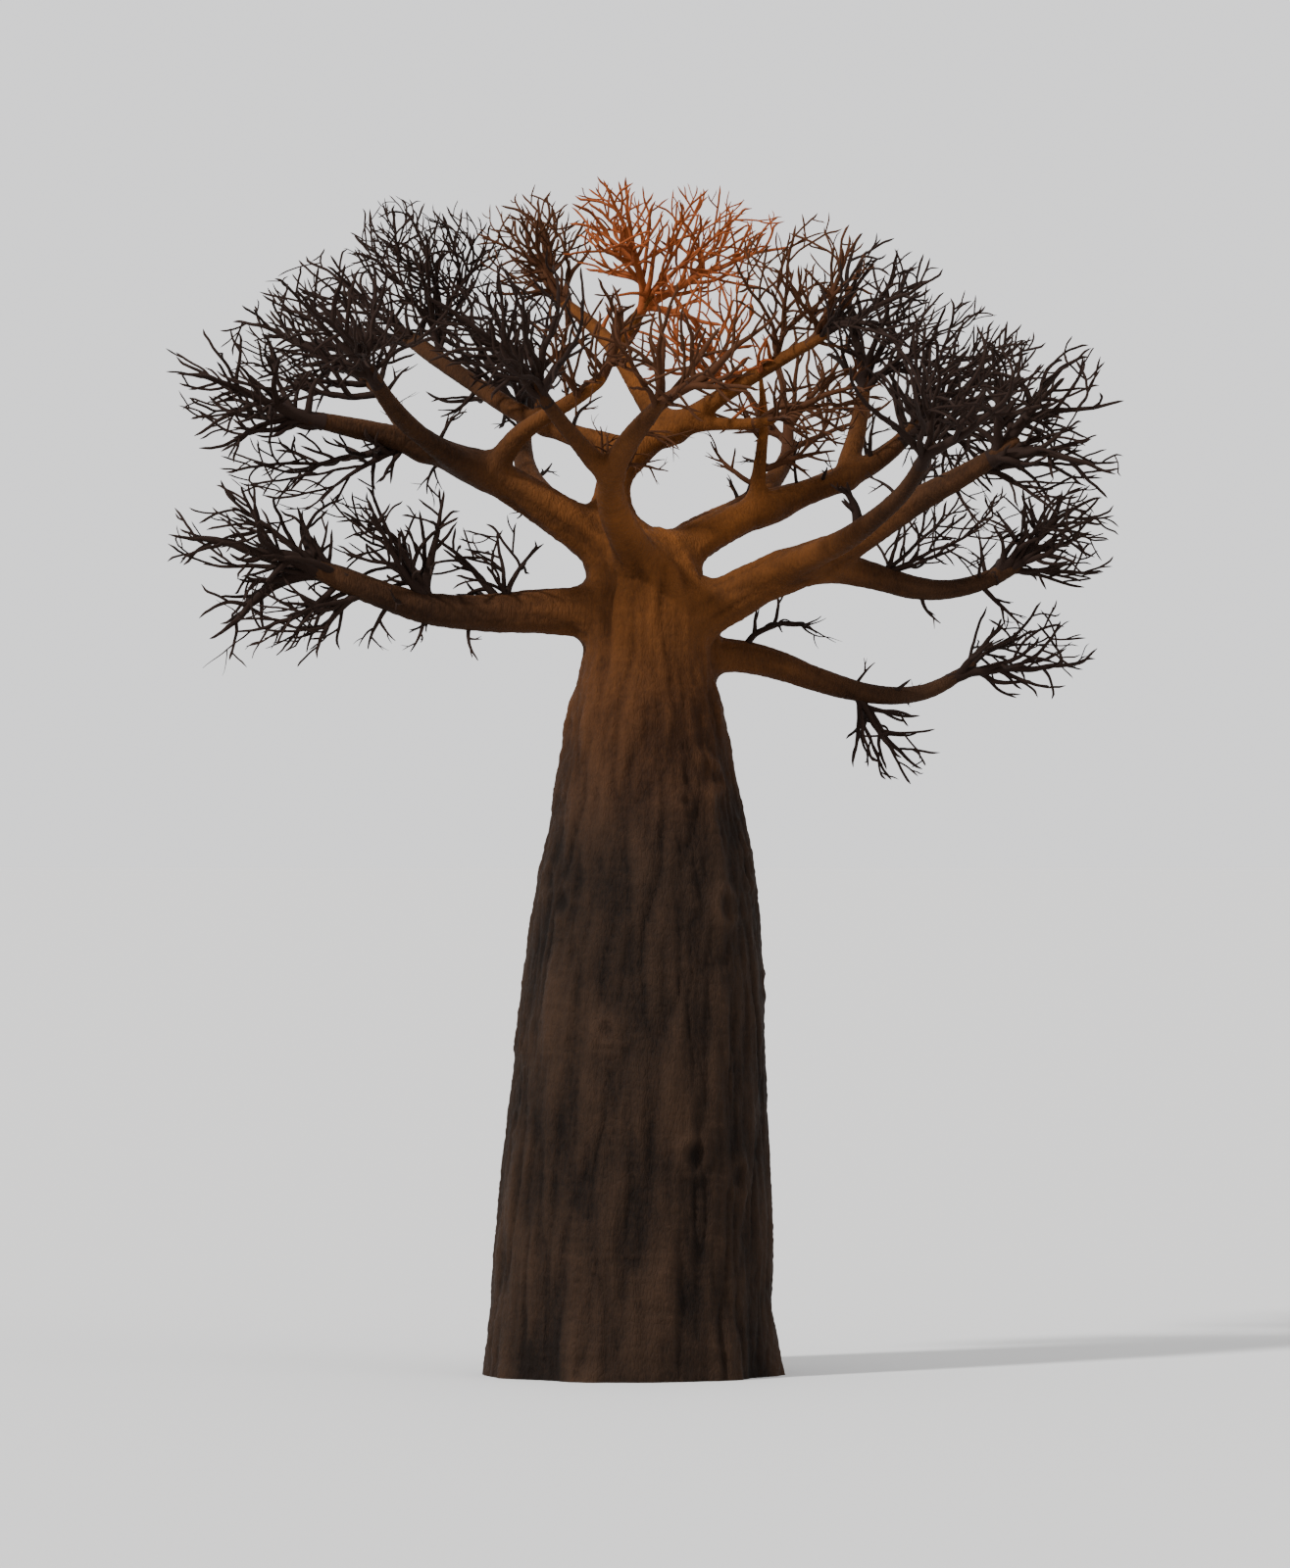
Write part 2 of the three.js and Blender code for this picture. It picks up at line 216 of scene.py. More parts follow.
class StageSettings(bpy.types.PropertyGroup):
    """The floor, the lights and the camera."""

    floor_radius: FloatProperty(
        name="Floor radius", description="Radius of the round floor", default=900.0, unit="LENGTH"
    )
    floor_colour: FloatVectorProperty(
        name="Floor colour", description="Colour of the floor", default=(0.47, 0.466, 0.46), **COLOUR
    )
    camera_distance: FloatProperty(
        name="Camera distance", description="How far the camera stands from the trunk",
        default=150.0, unit="LENGTH",
    )
    view_height: FloatProperty(
        name="View height", description="Height of what the camera's frame takes in",
        default=24.0, unit="LENGTH",
    )


# Limbs, measured from the frame


class Limb:
    """A bough or trunk as a line of points with a radius at each, from its foot to its tip."""

    def __init__(self, points, radii):
        self.points = np.array(points)
        self.radii = np.array(radii)
        steps = np.linalg.norm(np.diff(self.points, axis=0), axis=1)
        self.along = np.concatenate([[0.0], np.cumsum(steps)])
        self.tangents = unit(np.gradient(self.points, axis=0))
        self.sides = self.carried_sides()

    def carried_sides(self):
        """A direction across the limb at each point, carried along it without twisting."""
        side = np.cross(self.tangents[0], UP)
        if np.linalg.norm(side) < 0.2:
            side = np.array([1.0, 0.0, 0.0])
        sides = []
        for tangent in self.tangents:
            side = side - tangent * (side @ tangent)
            side = side / np.linalg.norm(side)
            sides.append(side)
        return np.array(sides)


def unit(vectors):
    """Each vector at length one."""
    return vectors / np.maximum(np.linalg.norm(vectors, axis=-1, keepdims=True), 1e-9)


def node_corners(name):
    """The corners of a frame node's triangles."""
    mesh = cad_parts[name].data
    places = np.empty(len(mesh.vertices) * 3)
    mesh.vertices.foreach_get("co", places)
    mesh.calc_loop_triangles()
    corners = np.empty(len(mesh.loop_triangles) * 3, np.int32)
    mesh.loop_triangles.foreach_get("vertices", corners)
    return places.reshape(-1, 3)[corners.reshape(-1, 3)]


def cut(corners, point, normal, reach):
    """The middle and mean radius of a plane's cut through a solid near a point, or None."""
    height = (corners - point) @ normal
    following = np.roll(corners, -1, axis=1)
    next_height = np.roll(height, -1, axis=1)
    crossing = (height < 0) != (next_height < 0)
    crossed = crossing.sum(axis=1) == 2
    if not crossed.any():
        return None
    gap = np.where(crossing, height - next_height, 1.0)
    ends = corners + (following - corners) * (height / gap)[..., None]
    ends = ends[crossed][crossing[crossed]].reshape(-1, 2, 3)
    middle = ends.mean(axis=1)
    length = np.linalg.norm(ends[:, 0] - ends[:, 1], axis=1)
    near = np.linalg.norm(middle - point, axis=1) < reach
    if near.sum() < 4:
        return None
    girth = length[near].sum()
    return (middle[near] * length[near, None]).sum(axis=0) / girth, girth / (2 * math.pi)


def tip_of(corners, fork):
    """The middle of the flat cap at a bough's tip, and the direction back into the bough."""
    places = np.unique(corners.reshape(-1, 3).round(4), axis=0)
    furthest = places[np.argmax(np.linalg.norm(places - fork, axis=1))]
    nearest = np.argsort(np.linalg.norm(places - furthest, axis=1))[:8]
    cap = places[nearest]
    middle = cap.mean(axis=0)
    normal = np.linalg.svd(cap - middle)[2][2]
    inward = places.mean(axis=0) - middle
    return middle, normal * np.sign(normal @ inward)


def measured_bough(name, fork):
    """A bough's line and radii, followed from its tip to where the limb that carries it cuts it."""
    corners = node_corners(name)
    point, heading = tip_of(corners, fork)
    step = 0.12
    points, radii = [], []
    radius = 0.2
    while len(points) < 200:
        found = cut(corners, point + heading * step, heading, 2.2 * radius + 0.1)
        if found is None:
            break
        centre, new_radius = found
        if points and (new_radius < 0.86 * radius or np.linalg.norm(centre - points[-1]) > 2 * step):
            break
        turn = unit(centre - point)
        heading = unit(0.5 * heading + 0.5 * turn) if points else turn
        point, radius = centre, new_radius
        points.append(point)
        radii.append(radius)
    return points[::-1], radii[::-1]


def rounded(values, times):
    """Values along a line with their steps and corners evened out, the ends kept."""
    values = np.array(values)
    for _ in range(times):
        values[1:-1] = 0.5 * values[1:-1] + 0.25 * (values[:-2] + values[2:])
    return values


def measured_trunk():
    """The trunk's line and radii from the ground to just under its rounded top."""
    corners = node_corners(TRUNK)
    low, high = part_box(TRUNK)
    heights = np.linspace(low.z + 0.03, high.z - 0.45, 50)
    cuts = [cut(corners, np.array([0.0, 0.0, z]), UP, 9.0) for z in heights]
    points = [centre for centre, _ in cuts]
    radii = [radius for _, radius in cuts]
    return Limb(points, radii)


@cache
def measured_limbs():
    """Every limb by name. Each bough is led on to the middle of the limb that carries it."""
    trunk = measured_trunk()
    fork = trunk.points[-1]
    found = {name: measured_bough(name, fork) for name in BOUGHS + [SNAG]}
    limbs = {TRUNK: trunk}
    for name, (points, radii) in found.items():
        foot = points[0]
        carriers = [(np.array(p), np.array(r)) for other, (p, r) in found.items() if other != name]
        carriers.append((trunk.points, trunk.radii))
        nearest_gap = math.inf
        for line, thickness in carriers:
            gaps = np.linalg.norm(line - foot, axis=1) - thickness
            nearest = int(np.argmin(gaps))
            if gaps[nearest] < nearest_gap:
                root, girth, nearest_gap = line[nearest], thickness[nearest], gaps[nearest]
        inner = min(radii[0] * 1.05, girth * 0.92)
        points = np.vstack([root, (root + foot) / 2, points])
        radii = np.concatenate([[inner, inner], radii])
        limbs[name] = Limb(rounded(points, 16), rounded(radii, 16))
        limbs[name].radii[-4:] *= (0.97, 0.9, 0.8, 0.65)
    return limbs


# The bark skin


def soft_union(a, b, reach):
    """The lower of two distances, rounded over where they cross."""
    overlap = np.maximum(reach - np.abs(a - b), 0.0)
    return np.minimum(a, b) - overlap * overlap / (4 * np.maximum(reach, 1e-6))


def limb_distance(limb, axes):
    """Distance to a limb's surface and its own radius there, on the part of a grid round it."""
    low = (limb.points - limb.radii[:, None]).min(axis=0) - REACH
    high = (limb.points + limb.radii[:, None]).max(axis=0) + REACH
    window = tuple(
        slice(max(0, np.searchsorted(axis, a) - 1), np.searchsorted(axis, b) + 1)
        for axis, a, b in zip(axes, low, high)
    )
    local = [axis[part].astype(np.float32) for axis, part in zip(axes, window)]
    shape = tuple(len(axis) for axis in local)
    distance = np.full(shape, 9.0, np.float32)
    girth = np.full(shape, 0.1, np.float32)
    for k in range(len(limb.points) - 1):
        start, end = limb.points[k], limb.points[k + 1]
        r0, r1 = limb.radii[k], limb.radii[k + 1]
        margin = max(r0, r1) + REACH
        box = tuple(
            slice(np.searchsorted(axis, min(a, b) - margin), np.searchsorted(axis, max(a, b) + margin))
            for axis, a, b in zip(local, start, end)
        )
        x, y, z = np.meshgrid(*(axis[part] for axis, part in zip(local, box)), indexing="ij", sparse=True)
        line = end - start
        share = (x - start[0]) * line[0] + (y - start[1]) * line[1] + (z - start[2]) * line[2]
        share = np.clip(share / (line @ line), 0.0, 1.0)
        dx = x - start[0] - share * line[0]
        dy = y - start[1] - share * line[1]
        dz = z - start[2] - share * line[2]
        here = r0 + (r1 - r0) * share
        gap = np.sqrt(dx * dx + dy * dy + dz * dz) - here
        nearer = gap < distance[box]
        distance[box] = np.where(nearer, gap, distance[box])
        girth[box] = np.where(nearer, here, girth[box])
    return window, distance, girth


def surface(field, low, side):
    """A closed mesh of four-sided faces where a field on a grid is nought (surface nets)."""
    inside = field < 0
    count = np.zeros(tuple(n - 1 for n in field.shape), np.int8)
    corners = [(i, j, k) for i in (0, 1) for j in (0, 1) for k in (0, 1)]
    for i, j, k in corners:
        count += inside[i : i + count.shape[0], j : j + count.shape[1], k : k + count.shape[2]]
    cells = np.argwhere((count > 0) & (count < 8))
    index = np.full(count.shape, -1, np.int32)
    index[tuple(cells.T)] = np.arange(len(cells), dtype=np.int32)
    values = {c: field[tuple((cells + c).T)] for c in corners}
    total = np.zeros((len(cells), 3))
    crossings = np.zeros(len(cells))
    for axis, along in enumerate(np.eye(3, dtype=int)):
        for start in (corner for corner in corners if not corner[axis]):
            a, b = values[start], values[tuple(start + along)]
            crosses = (a < 0) != (b < 0)
            share = np.where(crosses, a / np.where(crosses, a - b, 1.0), 0.0)
            total += (start + share[:, None] * along) * crosses[:, None]
            crossings += crosses
    places = (cells + total / crossings[:, None]) * side + low
    quads = []
    for axis in range(3):
        u, v = (axis + 1) % 3, (axis + 2) % 3
        first = [slice(None)] * 3
        second = [slice(None)] * 3
        first[axis], second[axis] = slice(0, -1), slice(1, None)
        edges = np.argwhere(inside[tuple(first)] != inside[tuple(second)])
        edges = edges[(edges[:, u] > 0) & (edges[:, v] > 0)]
        edges = edges[(edges[:, u] < count.shape[u]) & (edges[:, v] < count.shape[v])]
        back_u, back_v = np.eye(3, dtype=int)[[u, v]]
        ring = [edges, edges - back_u, edges - back_u - back_v, edges - back_v]
        quad = np.stack([index[tuple(part.T)] for part in ring], axis=1)
        outward = inside[tuple(edges.T)]
        quad[~outward] = quad[~outward][:, ::-1]
        quads.append(quad)
    return places, np.concatenate(quads)


def limb_lay(limb, places):
    """Where points near a limb lie on it, their gaps to it, and which points they are."""
    margin = limb.radii.max() + 0.3
    low = limb.points.min(axis=0) - margin
    high = limb.points.max(axis=0) + margin
    near = np.flatnonzero(((places > low) & (places < high)).all(axis=1))
    points = places[near]
    distance = np.full(len(near), 1e9)
    chosen = np.zeros(len(near), int)
    for k in range(len(limb.points)):
        gap = np.linalg.norm(points - limb.points[k], axis=1) - limb.radii[k]
        closer = gap < distance
        distance[closer] = gap[closer]
        chosen[closer] = k
    offset = points - limb.points[chosen]
    tangent, side = limb.tangents[chosen], limb.sides[chosen]
    ways = (side, np.cross(tangent, side), tangent)
    lay = np.stack([(offset * way).sum(axis=1) for way in ways], axis=1)
    lay[:, 2] += limb.along[chosen]
    return near, distance, lay, limb.radii[chosen]


def plain_mesh(name, places, edges, faces):
    """A mesh from arrays of places, edges and faces."""
    mesh = bpy.data.meshes.new(name)
    mesh.from_pydata(places, edges, faces, shade_flat=False)
    return mesh


def store(mesh, name, values):
    """Keeps one number or vector for each vertex of a mesh."""
    values = np.asarray(values, np.float32)
    kind, key = ("FLOAT", "value") if values.ndim == 1 else ("FLOAT_VECTOR", "vector")
    attribute = mesh.attributes.new(name, kind, "POINT")
    attribute.data.foreach_set(key, values.ravel())


def shown(name, mesh):
    """A new object of a mesh, in the scene."""
    piece = bpy.data.objects.new(name, mesh)
    bpy.context.scene.collection.objects.link(piece)
    return piece


def limb_skin(limbs, settings):
    """The joined outer surface of all the limbs."""
    side = settings.grid
    everything = np.concatenate([limb.points for limb in limbs.values()])
    low = everything.min(axis=0) - [2.6, 1.0, 0.0]
    low[2] = -2.5 * side
    high = everything.max(axis=0) + 1.0
    axes = [np.arange(a, b, side) for a, b in zip(low, high)]
    field = np.full(tuple(len(axis) for axis in axes), 9.0, np.float32)
    for name, limb in limbs.items():
        thick = limb.radii > 1.3 * side
        limb = Limb(limb.points[thick], limb.radii[thick])
        window, distance, girth = limb_distance(limb, axes)
        merging = np.minimum(settings.merging * girth, 0.34) if name != TRUNK else 0.05
        field[window] = soft_union(field[window], distance, merging).astype(np.float32)
    return surface(field, low, side)


def bark_lay(limbs, places):
    """Each point's lay on its nearest limb and on the next nearest, and the first one's weight."""
    first = np.full(len(places), 1e9)
    second = np.full(len(places), 1e9)
    lay_a = np.zeros((len(places), 3))
    lay_b = np.zeros((len(places), 3))
    girth = np.full(len(places), 0.1)
    for number, limb in enumerate(limbs.values()):
        near, gap, lay, thick = limb_lay(limb, places)
        lay = lay + number * 7.3
        closer = gap < first[near]
        won = near[closer]
        second[won], lay_b[won] = first[won], lay_a[won]
        first[won], lay_a[won], girth[won] = gap[closer], lay[closer], thick[closer]
        between = (gap < second[near]) & ~closer
        second[near[between]], lay_b[near[between]] = gap[between], lay[between]
    blend = np.clip(0.5 + (second - first) / 0.5, 0.0, 1.0)
    return {"lay_a": lay_a, "lay_b": lay_b, "blend": blend, "girth": girth}


# Node tree helpers


class NodeMaker:
    """Adds nodes to a tree and links them, by short calls."""

    def __init__(self, tree):
        self.tree = tree

    def feed(self, node, inputs):
        """Sets a node's inputs to values, or links them to other nodes' outputs."""
        for key, value in inputs.items():
            if isinstance(value, bpy.types.NodeSocket):
                self.tree.links.new(value, node.inputs[key])
            else:
                node.inputs[key].default_value = value

    def add(self, kind, inputs=None, **options):
        """A node with its options set and its inputs fed."""
        node = self.tree.nodes.new(kind)
        for key, value in options.items():
            setattr(node, key, value)
        self.feed(node, inputs or {})
        return node

    def math(self, operation, a, b=0.0):
        """A number worked out from two."""
        return self.add("ShaderNodeMath", {0: a, 1: b}, operation=operation).outputs[0]

    def plus(self, a, b):
        """The sum of two numbers."""
        return self.math("ADD", a, b)

    def times(self, a, b):
        """The product of two numbers."""
        return self.math("MULTIPLY", a, b)

    def vector(self, operation, a, b):
        """A vector worked out from two."""
        return self.add("ShaderNodeVectorMath", {0: a, 1: b}, operation=operation).outputs[0]

    def scaled(self, vector, factor):
        """A vector times a number."""
        inputs = {0: vector, "Scale": factor}
        return self.add("ShaderNodeVectorMath", inputs, operation="SCALE").outputs[0]

    def mix(self, kind, factor, a, b):
        """From a to b by a factor, as numbers or colours."""
        inputs = {"Factor": factor, "A": a, "B": b}
        return self.add("ShaderNodeMix", inputs, data_type=kind).outputs["Result"]

    def ranged(self, value, taken, given):
        """A number moved from one range to another."""
        inputs = {"Value": value, "From Min": taken[0], "From Max": taken[1]}
        inputs.update({"To Min": given[0], "To Max": given[1]})
        return self.add("ShaderNodeMapRange", inputs).outputs[0]

    def noise(self, place, scale, detail, roughness, seed=None):
        """Noise round a half at a place, or round nought from -1 to 1 if it has a seed."""
        inputs = {"Vector": place, "Scale": scale, "Detail": detail, "Roughness": roughness}
        if seed is None:
            return self.add("ShaderNodeTexNoise", inputs).outputs[0]
        node = self.add("ShaderNodeTexNoise", {**inputs, "W": seed}, noise_dimensions="4D")
        return self.times(self.math("SUBTRACT", node.outputs[0], 0.5), 2.0)

    def stored(self, name, kind="FLOAT"):
        """A mesh's own value at each point, by its name."""
        node = self.add("GeometryNodeInputNamedAttribute", {"Name": name}, data_type=kind)
        return node.outputs["Attribute"]

    def finish(self, geometry, material):
        """Ends a tree: smooth, real, and with its material."""
        smooth = self.add("GeometryNodeSetShadeSmooth", {"Geometry": geometry})
        realized = self.add("GeometryNodeRealizeInstances", {"Geometry": smooth.outputs[0]})
        inputs = {"Geometry": realized.outputs[0], "Material": material}
        painted = self.add("GeometryNodeSetMaterial", inputs)
        self.add("NodeGroupOutput", {"Geometry": painted.outputs[0]})
        return self.tree


def new_tree(name, sockets):
    """A maker for a Geometry Nodes tree with named inputs of a kind each, and those inputs."""
    tree = bpy.data.node_groups.new(name, "GeometryNodeTree")
    tree.interface.new_socket("Geometry", in_out="OUTPUT", socket_type="NodeSocketGeometry")
    for label, kind in {"Geometry": "Geometry", **sockets}.items():
        tree.interface.new_socket(label, in_out="INPUT", socket_type=f"NodeSocket{kind}")
    make = NodeMaker(tree)
    return make, make.add("NodeGroupInput").outputs


def grown(piece, tree, values):
    """Runs a tree on a piece with its inputs set, and returns the result as a plain mesh."""
    modifier = piece.modifiers.new(tree.name, "NODES")
    modifier.node_group = tree
    for item in tree.interface.items_tree:
        if item.in_out == "INPUT" and item.name in values:
            modifier[item.identifier] = values[item.name]
    bpy.context.view_layer.update()
    graph = bpy.context.evaluated_depsgraph_get()
    mesh = bpy.data.meshes.new_from_object(piece.evaluated_get(graph))
    piece.modifiers.remove(modifier)
    return mesh


# Bark relief


def relief_tree():
    """Lifts and sinks a skin by long folds, rings of wrinkles and slow swells."""
    depths = {"Fold Depth": "Float", "Fold Width": "Float", "Wrinkle Depth": "Float"}
    others = {"Wrinkle Width": "Float", "Seed": "Int", "Material": "Material"}
    make, give = new_tree("Bark relief", {**depths, **others})
    seed = make.times(give["Seed"], 3.7)

    def noise(lay, stretch, width, detail, roughness):
        """Noise on a lay that is stretched along the limb, from -1 to 1."""
        place = make.scaled(make.vector("MULTIPLY", lay, stretch), make.math("DIVIDE", 1.0, width))
        return make.noise(place, 1.0, detail, roughness, seed)

    def ridged(value):
        """Sharp grooves between round crests."""
        sharp = make.math("POWER", make.math("ABSOLUTE", value), 0.7)
        return make.math("SUBTRACT", make.times(sharp, 2.0), 0.75)

    def relief(lay):
        """Heights of the folds and of the wrinkles at a lay, before they are scaled to the limb."""
        folds = ridged(noise(lay, (1.0, 1.0, 0.13), give["Fold Width"], 2.5, 0.45))
        fine = noise(lay, (1.0, 1.0, 0.3), make.times(give["Fold Width"], 0.33), 2.0, 0.5)
        swell = noise(lay, (1.0, 1.0, 0.6), 1.4, 1.0, 0.4)
        rings = ridged(noise(lay, (0.22, 0.22, 1.0), give["Wrinkle Width"], 2.0, 0.5))
        high = make.times(make.plus(folds, swell), give["Fold Depth"])
        high = make.plus(high, make.times(fine, make.times(give["Fold Depth"], 0.3)))
        return high, make.times(rings, give["Wrinkle Depth"])

    high_a, rings_a = relief(make.stored("lay_a", "FLOAT_VECTOR"))
    high_b, rings_b = relief(make.stored("lay_b", "FLOAT_VECTOR"))
    blend = make.stored("blend")
    girth = make.stored("girth")
    slim = make.math("MINIMUM", make.times(girth, 1.6), 1.0)
    slim_rings = make.math("MINIMUM", make.times(girth, 2.5), 1.0)
    height = make.times(make.mix("FLOAT", blend, high_b, high_a), slim)
    rings = make.times(make.mix("FLOAT", blend, rings_b, rings_a), slim_rings)
    total = make.plus(make.plus(height, rings), make.stored("boss"))
    full = make.times(give["Fold Depth"], make.math("MAXIMUM", slim, 0.15))
    # The relief height is kept as 'crest' for the bark colour, which darkens the grooves with it as
    # painted shade.
    inputs = {"Geometry": give["Geometry"], "Name": "crest", "Value": make.math("DIVIDE", total, full)}
    kept = make.add("GeometryNodeStoreNamedAttribute", inputs, data_type="FLOAT", domain="POINT")
    normal = make.add("GeometryNodeInputNormal").outputs[0]
    inputs = {"Geometry": kept.outputs[0], "Offset": make.scaled(normal, total)}
    moved = make.add("GeometryNodeSetPosition", inputs)
    return make.finish(moved.outputs[0], give["Material"])


def bosses(limbs, places, settings):
    """Height of the round scars where old boughs fell, and of the swollen root feet."""
    random = np.random.default_rng(settings.seed)
    height = np.zeros(len(places))
    trunk = limbs[TRUNK]
    for _ in range(26):
        z = random.uniform(1.2, 10.6)
        angle = random.uniform(-math.pi, math.pi)
        size = random.uniform(0.12, 0.3)
        middle = np.array([np.interp(z, trunk.points[:, 2], trunk.points[:, n]) for n in range(3)])
        radius = np.interp(z, trunk.points[:, 2], trunk.radii)
        spot = middle + radius * np.array([math.cos(angle), math.sin(angle), 0.0])
        away = np.linalg.norm((places - spot) * [1.0, 1.0, 0.75], axis=1) / size
        ring = np.exp(-(((away - 0.8) / 0.35) ** 2)) - 0.7 * np.exp(-((away / 0.45) ** 2))
        height += ring * size * 0.16
    angle = np.arctan2(places[:, 1], places[:, 0])
    lobes = 0.5 * np.cos(7 * angle + 0.6) + 0.35 * np.cos(11 * angle + 2.1) + 0.3 * np.cos(4 * angle)
    low_down = np.exp(-np.maximum(places[:, 2], 0.0) / 0.9)
    near_trunk = np.hypot(places[:, 0], places[:, 1]) < 3.2
    return height + 0.1 * lobes * low_down * near_trunk


def halves(mesh, height):
    """The part of a closed mesh between the ground and a height, and the part above, closed."""
    made = []
    for cuts in ([(0.0, False), (height, True)], [(height, False)]):
        work = bmesh.new()
        work.from_mesh(mesh)
        for level, above in cuts:
            found = bmesh.ops.bisect_plane(
                work,
                geom=work.verts[:] + work.edges[:] + work.faces[:],
                plane_co=(0, 0, level),
                plane_no=(0, 0, 1),
                clear_outer=above,
                clear_inner=not above,
            )
            rim = [e for e in found["geom_cut"] if isinstance(e, bmesh.types.BMEdge)]
            capped = bmesh.ops.contextual_create(work, geom=rim)
            bmesh.ops.triangulate(work, faces=capped["faces"])
            for edge in rim:
                edge.smooth = False
        bmesh.ops.recalc_face_normals(work, faces=work.faces[:])
        part = bpy.data.meshes.new(mesh.name)
        work.to_mesh(part)
        work.free()
        for material in mesh.materials:
            part.materials.append(material)
        made.append(part)
    return made


# Materials


def new_material(name):
    """A material with a Principled shader, its maker and the shader."""
    material = bpy.data.materials.new(name)
    material.use_nodes = True
    tree = material.node_tree
    shader = next(n for n in tree.nodes if n.type == "BSDF_PRINCIPLED")
    return material, NodeMaker(tree), shader


def opaque(colour):
    """A colour with nothing see-through in it."""
    return (*colour, 1.0)


def bark_material(settings):
    """Dark folded bark: paler crests, grooves darkened with painted shade, patches, and a painted glow of
    a low sun behind the crown, high in the fork and across the crown.
    """
    material, make, shader = new_material("Folded bark")
    place = make.add("ShaderNodeTexCoord").outputs["Object"]
    patches = make.noise(place, 1.1, 5.0, 0.6)
    grain_place = make.vector("MULTIPLY", place, (1.0, 1.0, 0.35))
    grain = make.noise(grain_place, 26.0, 8.0, 0.7)
    inputs = {"Vector": grain_place, "Scale": 16.0}
    cracks = make.add("ShaderNodeTexVoronoi", inputs, feature="DISTANCE_TO_EDGE").outputs["Distance"]
    crest = make.add("ShaderNodeAttribute", attribute_name="crest").outputs["Fac"]
    glow = make.add("ShaderNodeAttribute", attribute_name="glow").outputs["Fac"]
    # Painted shade: the relief height darkens the grooves towards the groove shade colour; grain and
    # patches add the bark's own uneven tone.
    level = make.ranged(crest, (-1.1, 1.3), (0.0, 1.0))
    mottled = make.plus(level, make.times(make.math("SUBTRACT", grain, 0.5), 0.9))
    mottled = make.plus(mottled, make.times(make.math("SUBTRACT", patches, 0.5), 0.8))
    dark = make.mix("RGBA", mottled, opaque(settings.groove_shade_colour), opaque(settings.ridge_colour))
    # Painted light: the glow colour on the crests, and a copy darkened with painted shade for the
    # grooves, mixed in by the glow attribute.
    glow_in_groove_shade = [0.3 * c for c in settings.glow_colour]
    lit = make.mix("RGBA", mottled, opaque(glow_in_groove_shade), opaque(settings.glow_colour))
    split = make.math("MINIMUM", make.times(cracks, 5.0), 1.0)
    height = make.plus(make.times(split, 0.35), grain)
    bump = make.add("ShaderNodeBump", {"Height": height, "Strength": 0.7, "Distance": 0.03})
    surface_inputs = {
        "Base Color": make.mix("RGBA", glow, dark, lit),
        "Roughness": make.ranged(grain, (0.2, 0.8), (0.72, 0.95)),
        "Normal": bump.outputs[0],
        "Specular IOR Level": MATT,
    }
    make.feed(shader, surface_inputs)
    return material


def twig_material(name, colour):
    """Matt twig bark in one colour, with a fine grain."""
    material, make, shader = new_material(name)
    grain = make.noise(make.add("ShaderNodeTexCoord").outputs["Object"], 30.0, 4.0, 0.6)
    bump = make.add("ShaderNodeBump", {"Height": grain, "Strength": 0.5, "Distance": 0.01})
    surface_inputs = {
        "Base Color": opaque(colour),
        "Roughness": 0.85,
        "Normal": bump.outputs[0],
        "Specular IOR Level": MATT,
    }
    make.feed(shader, surface_inputs)
    return material


def twig_materials(settings):
    """The three twig materials, made once, by the name of their colour; the brown and rust ones hold
    painted glow as well as the red-brown of young shoots.
    """
    colours = {"dark": settings.dark_colour, "brown_glow": settings.brown_glow_colour, "rust_glow": settings.rust_glow_colour}
    found = {}
    for shade, colour in colours.items():
        name = shade.capitalize() + " twigs"
        found[shade] = bpy.data.materials.get(name) or twig_material(name, colour)
    return found


def twig_tint_and_glow(place):
    """Which twig colour belongs at a place: brown and rust high in the crown where the painted glow of a
    low sun behind it is strong, which also stands for red-brown young shoots, and dark elsewhere.
    """
    glow = glow_tint(place[None])[0] * np.clip((place[2] - 12.8) / 2.2, 0.0, 1.0)
    if glow > 0.72:
        return "rust_glow"
    return "brown_glow" if glow > 0.28 else "dark"


def glow_tint(places, reach=2.3, least=0.0):
    """How strong the painted glow of a low sun behind the crown is: from nought low on the trunk to one
    in the middle of the crown. On the twigs it also places the red-brown of young shoots.
    """
    across = np.clip(1.4 - np.abs(places[:, 0] - 0.95) / reach, least, 1.0)
    deep = np.clip(1.6 - np.abs(places[:, 1]) / 3.6, 0.45, 1.0)
    up = np.clip((places[:, 2] - 7.5) / 6.8, 0.0, 1.0)
    return across * deep * up * up * (3.0 - 2.0 * up)


def bark_glow(places):
    """The painted glow of a low sun behind the crown on the bark, which reaches further than that on the
    twigs.
    """
    return glow_tint(places, 3.0, 0.24)


# Twigs


